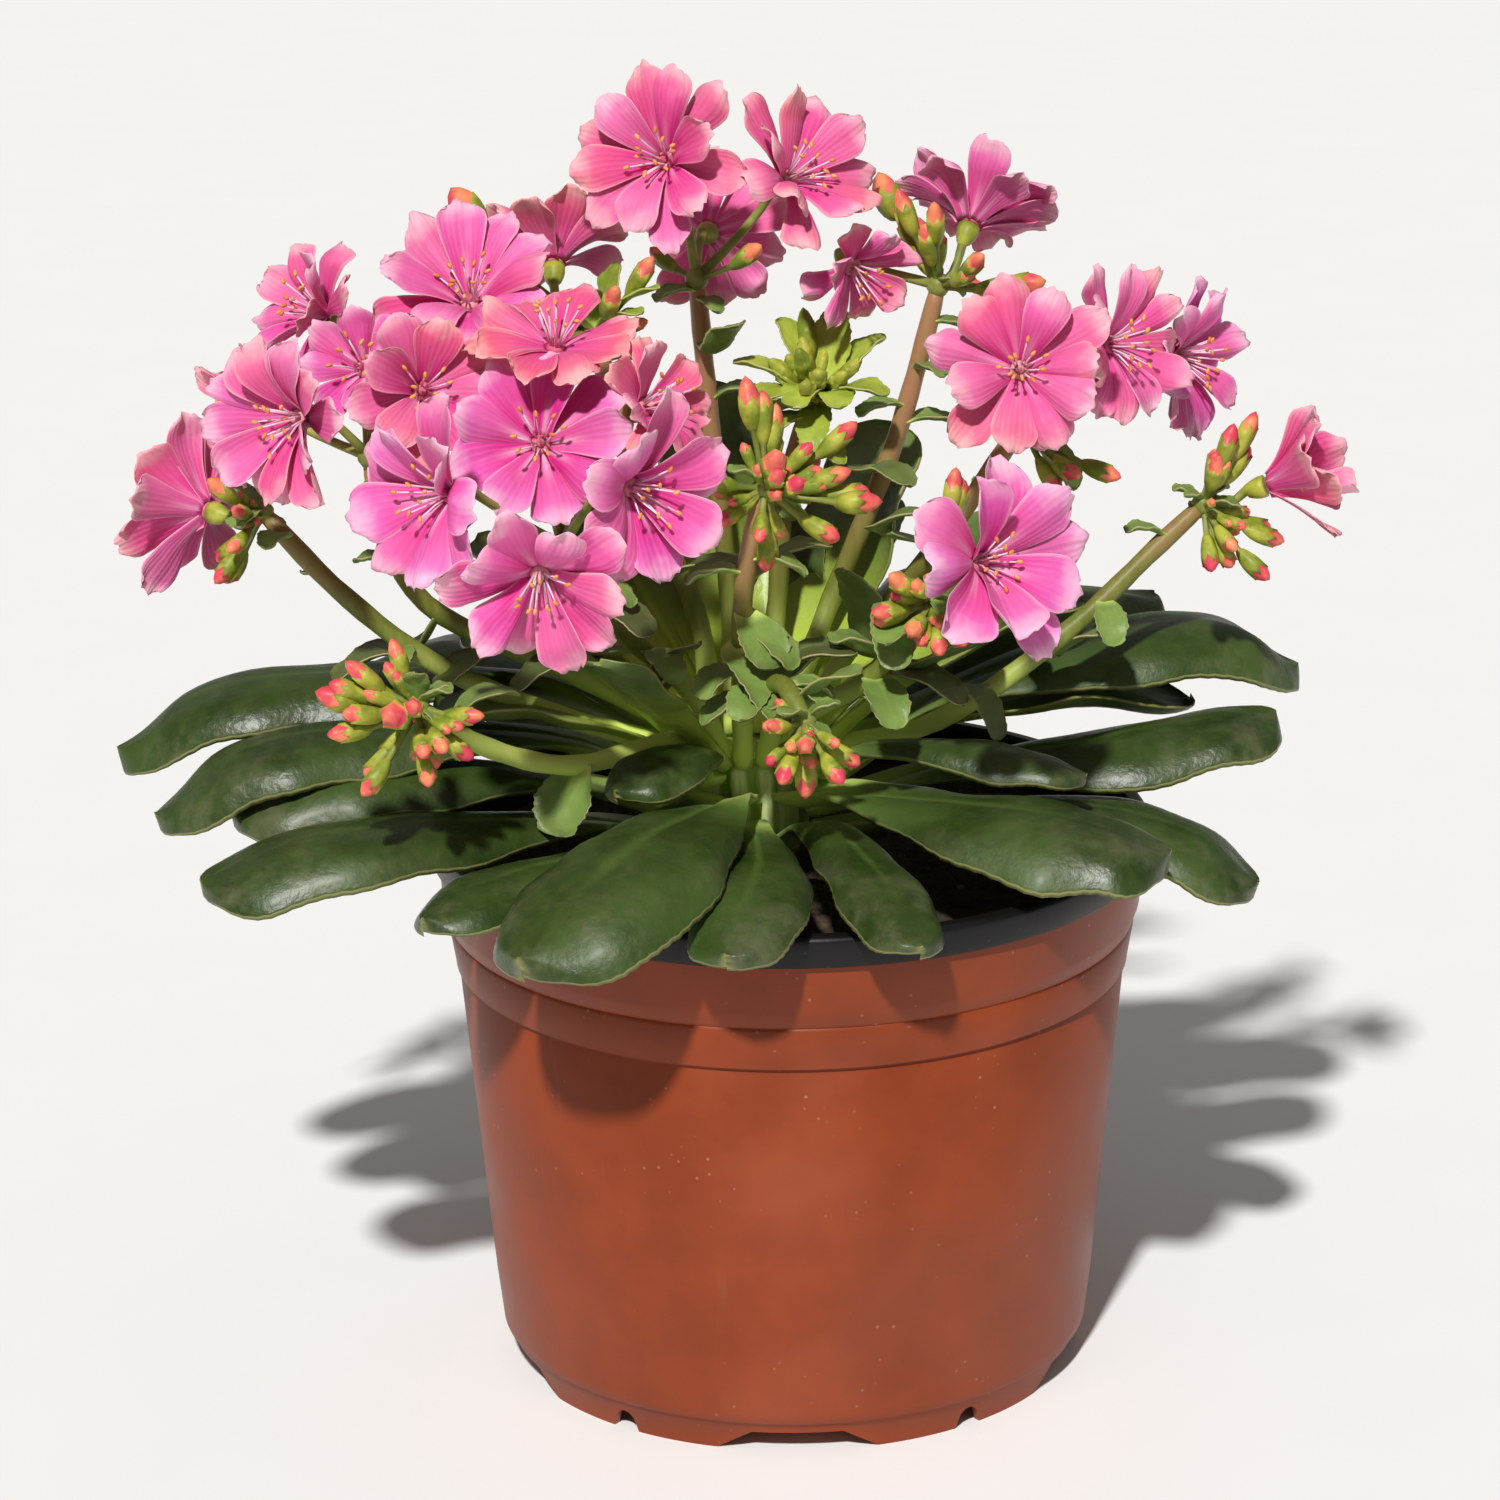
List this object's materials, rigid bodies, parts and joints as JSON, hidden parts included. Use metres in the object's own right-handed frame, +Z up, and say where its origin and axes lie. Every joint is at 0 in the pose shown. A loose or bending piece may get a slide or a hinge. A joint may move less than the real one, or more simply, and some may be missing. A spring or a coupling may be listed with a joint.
{
  "type": "potted siskiyou lewisia",
  "caption": "Potted siskiyou lewisia: a low rosette of fleshy dark green leaves in a terracotta-coloured nursery pot, with arching stems of ruffled pink blooms and bud clusters.",
  "frame": {"origin": "middle of the whole plant's outline, on the surface that the pot stands on; the pot's own axis lies 10.0 mm to +X and 2.4 mm to -Y of it", "axes": "+Z up, -Y towards the viewer of the picture, +X to that viewer's right"},
  "size_m": [0.2124, 0.1682, 0.2238],
  "materials": {
    "pot": "satin moulded polypropylene, terracotta outside and black inside",
    "soil": "damp peat and bark potting soil with pale grains",
    "crown": "smooth pale green crown, darker green on its upright leaves",
    "leaf": "fleshy and waxy with a soft shine and a thin yellow-green margin",
    "stem": "smooth stems, brown-pink above and green below, green bracts, coral bud tips",
    "bloom": "thin satin petals, pink with fine veins and salmon tips"
  },
  "bodies": {
    "root": {"pot": "pot", "soil": "soil", "crown": "crown", "leaf_01": "leaf", "leaf_02": "leaf", "leaf_03": "leaf", "leaf_04": "leaf", "leaf_05": "leaf", "leaf_06": "leaf", "leaf_07": "leaf", "leaf_08": "leaf", "leaf_09": "leaf", "leaf_10": "leaf", "leaf_11": "leaf", "leaf_12": "leaf", "leaf_13": "leaf", "leaf_14": "leaf", "leaf_15": "leaf", "leaf_16": "leaf", "leaf_17": "leaf", "leaf_18": "leaf", "leaf_19": "leaf", "stem_01": "stem", "stem_02": "stem", "stem_03": "stem", "stem_04": "stem", "stem_05": "stem", "stem_06": "stem", "stem_07": "stem", "stem_08": "stem", "stem_09": "stem", "stem_10": "stem", "stem_11": "stem", "stem_12": "stem", "stem_13": "stem", "bloom_01": "bloom", "bloom_02": "bloom", "bloom_03": "bloom", "bloom_04": "bloom", "bloom_05": "bloom", "bloom_06": "bloom", "bloom_07": "bloom", "bloom_08": "bloom", "bloom_09": "bloom", "bloom_10": "bloom", "bloom_11": "bloom", "bloom_12": "bloom", "bloom_13": "bloom", "bloom_14": "bloom", "bloom_15": "bloom", "bloom_16": "bloom", "bloom_17": "bloom", "bloom_18": "bloom", "bloom_19": "bloom", "bloom_20": "bloom", "bloom_21": "bloom", "bloom_22": "bloom", "bloom_23": "bloom", "bloom_24": "bloom"}
  },
  "joints": []
}
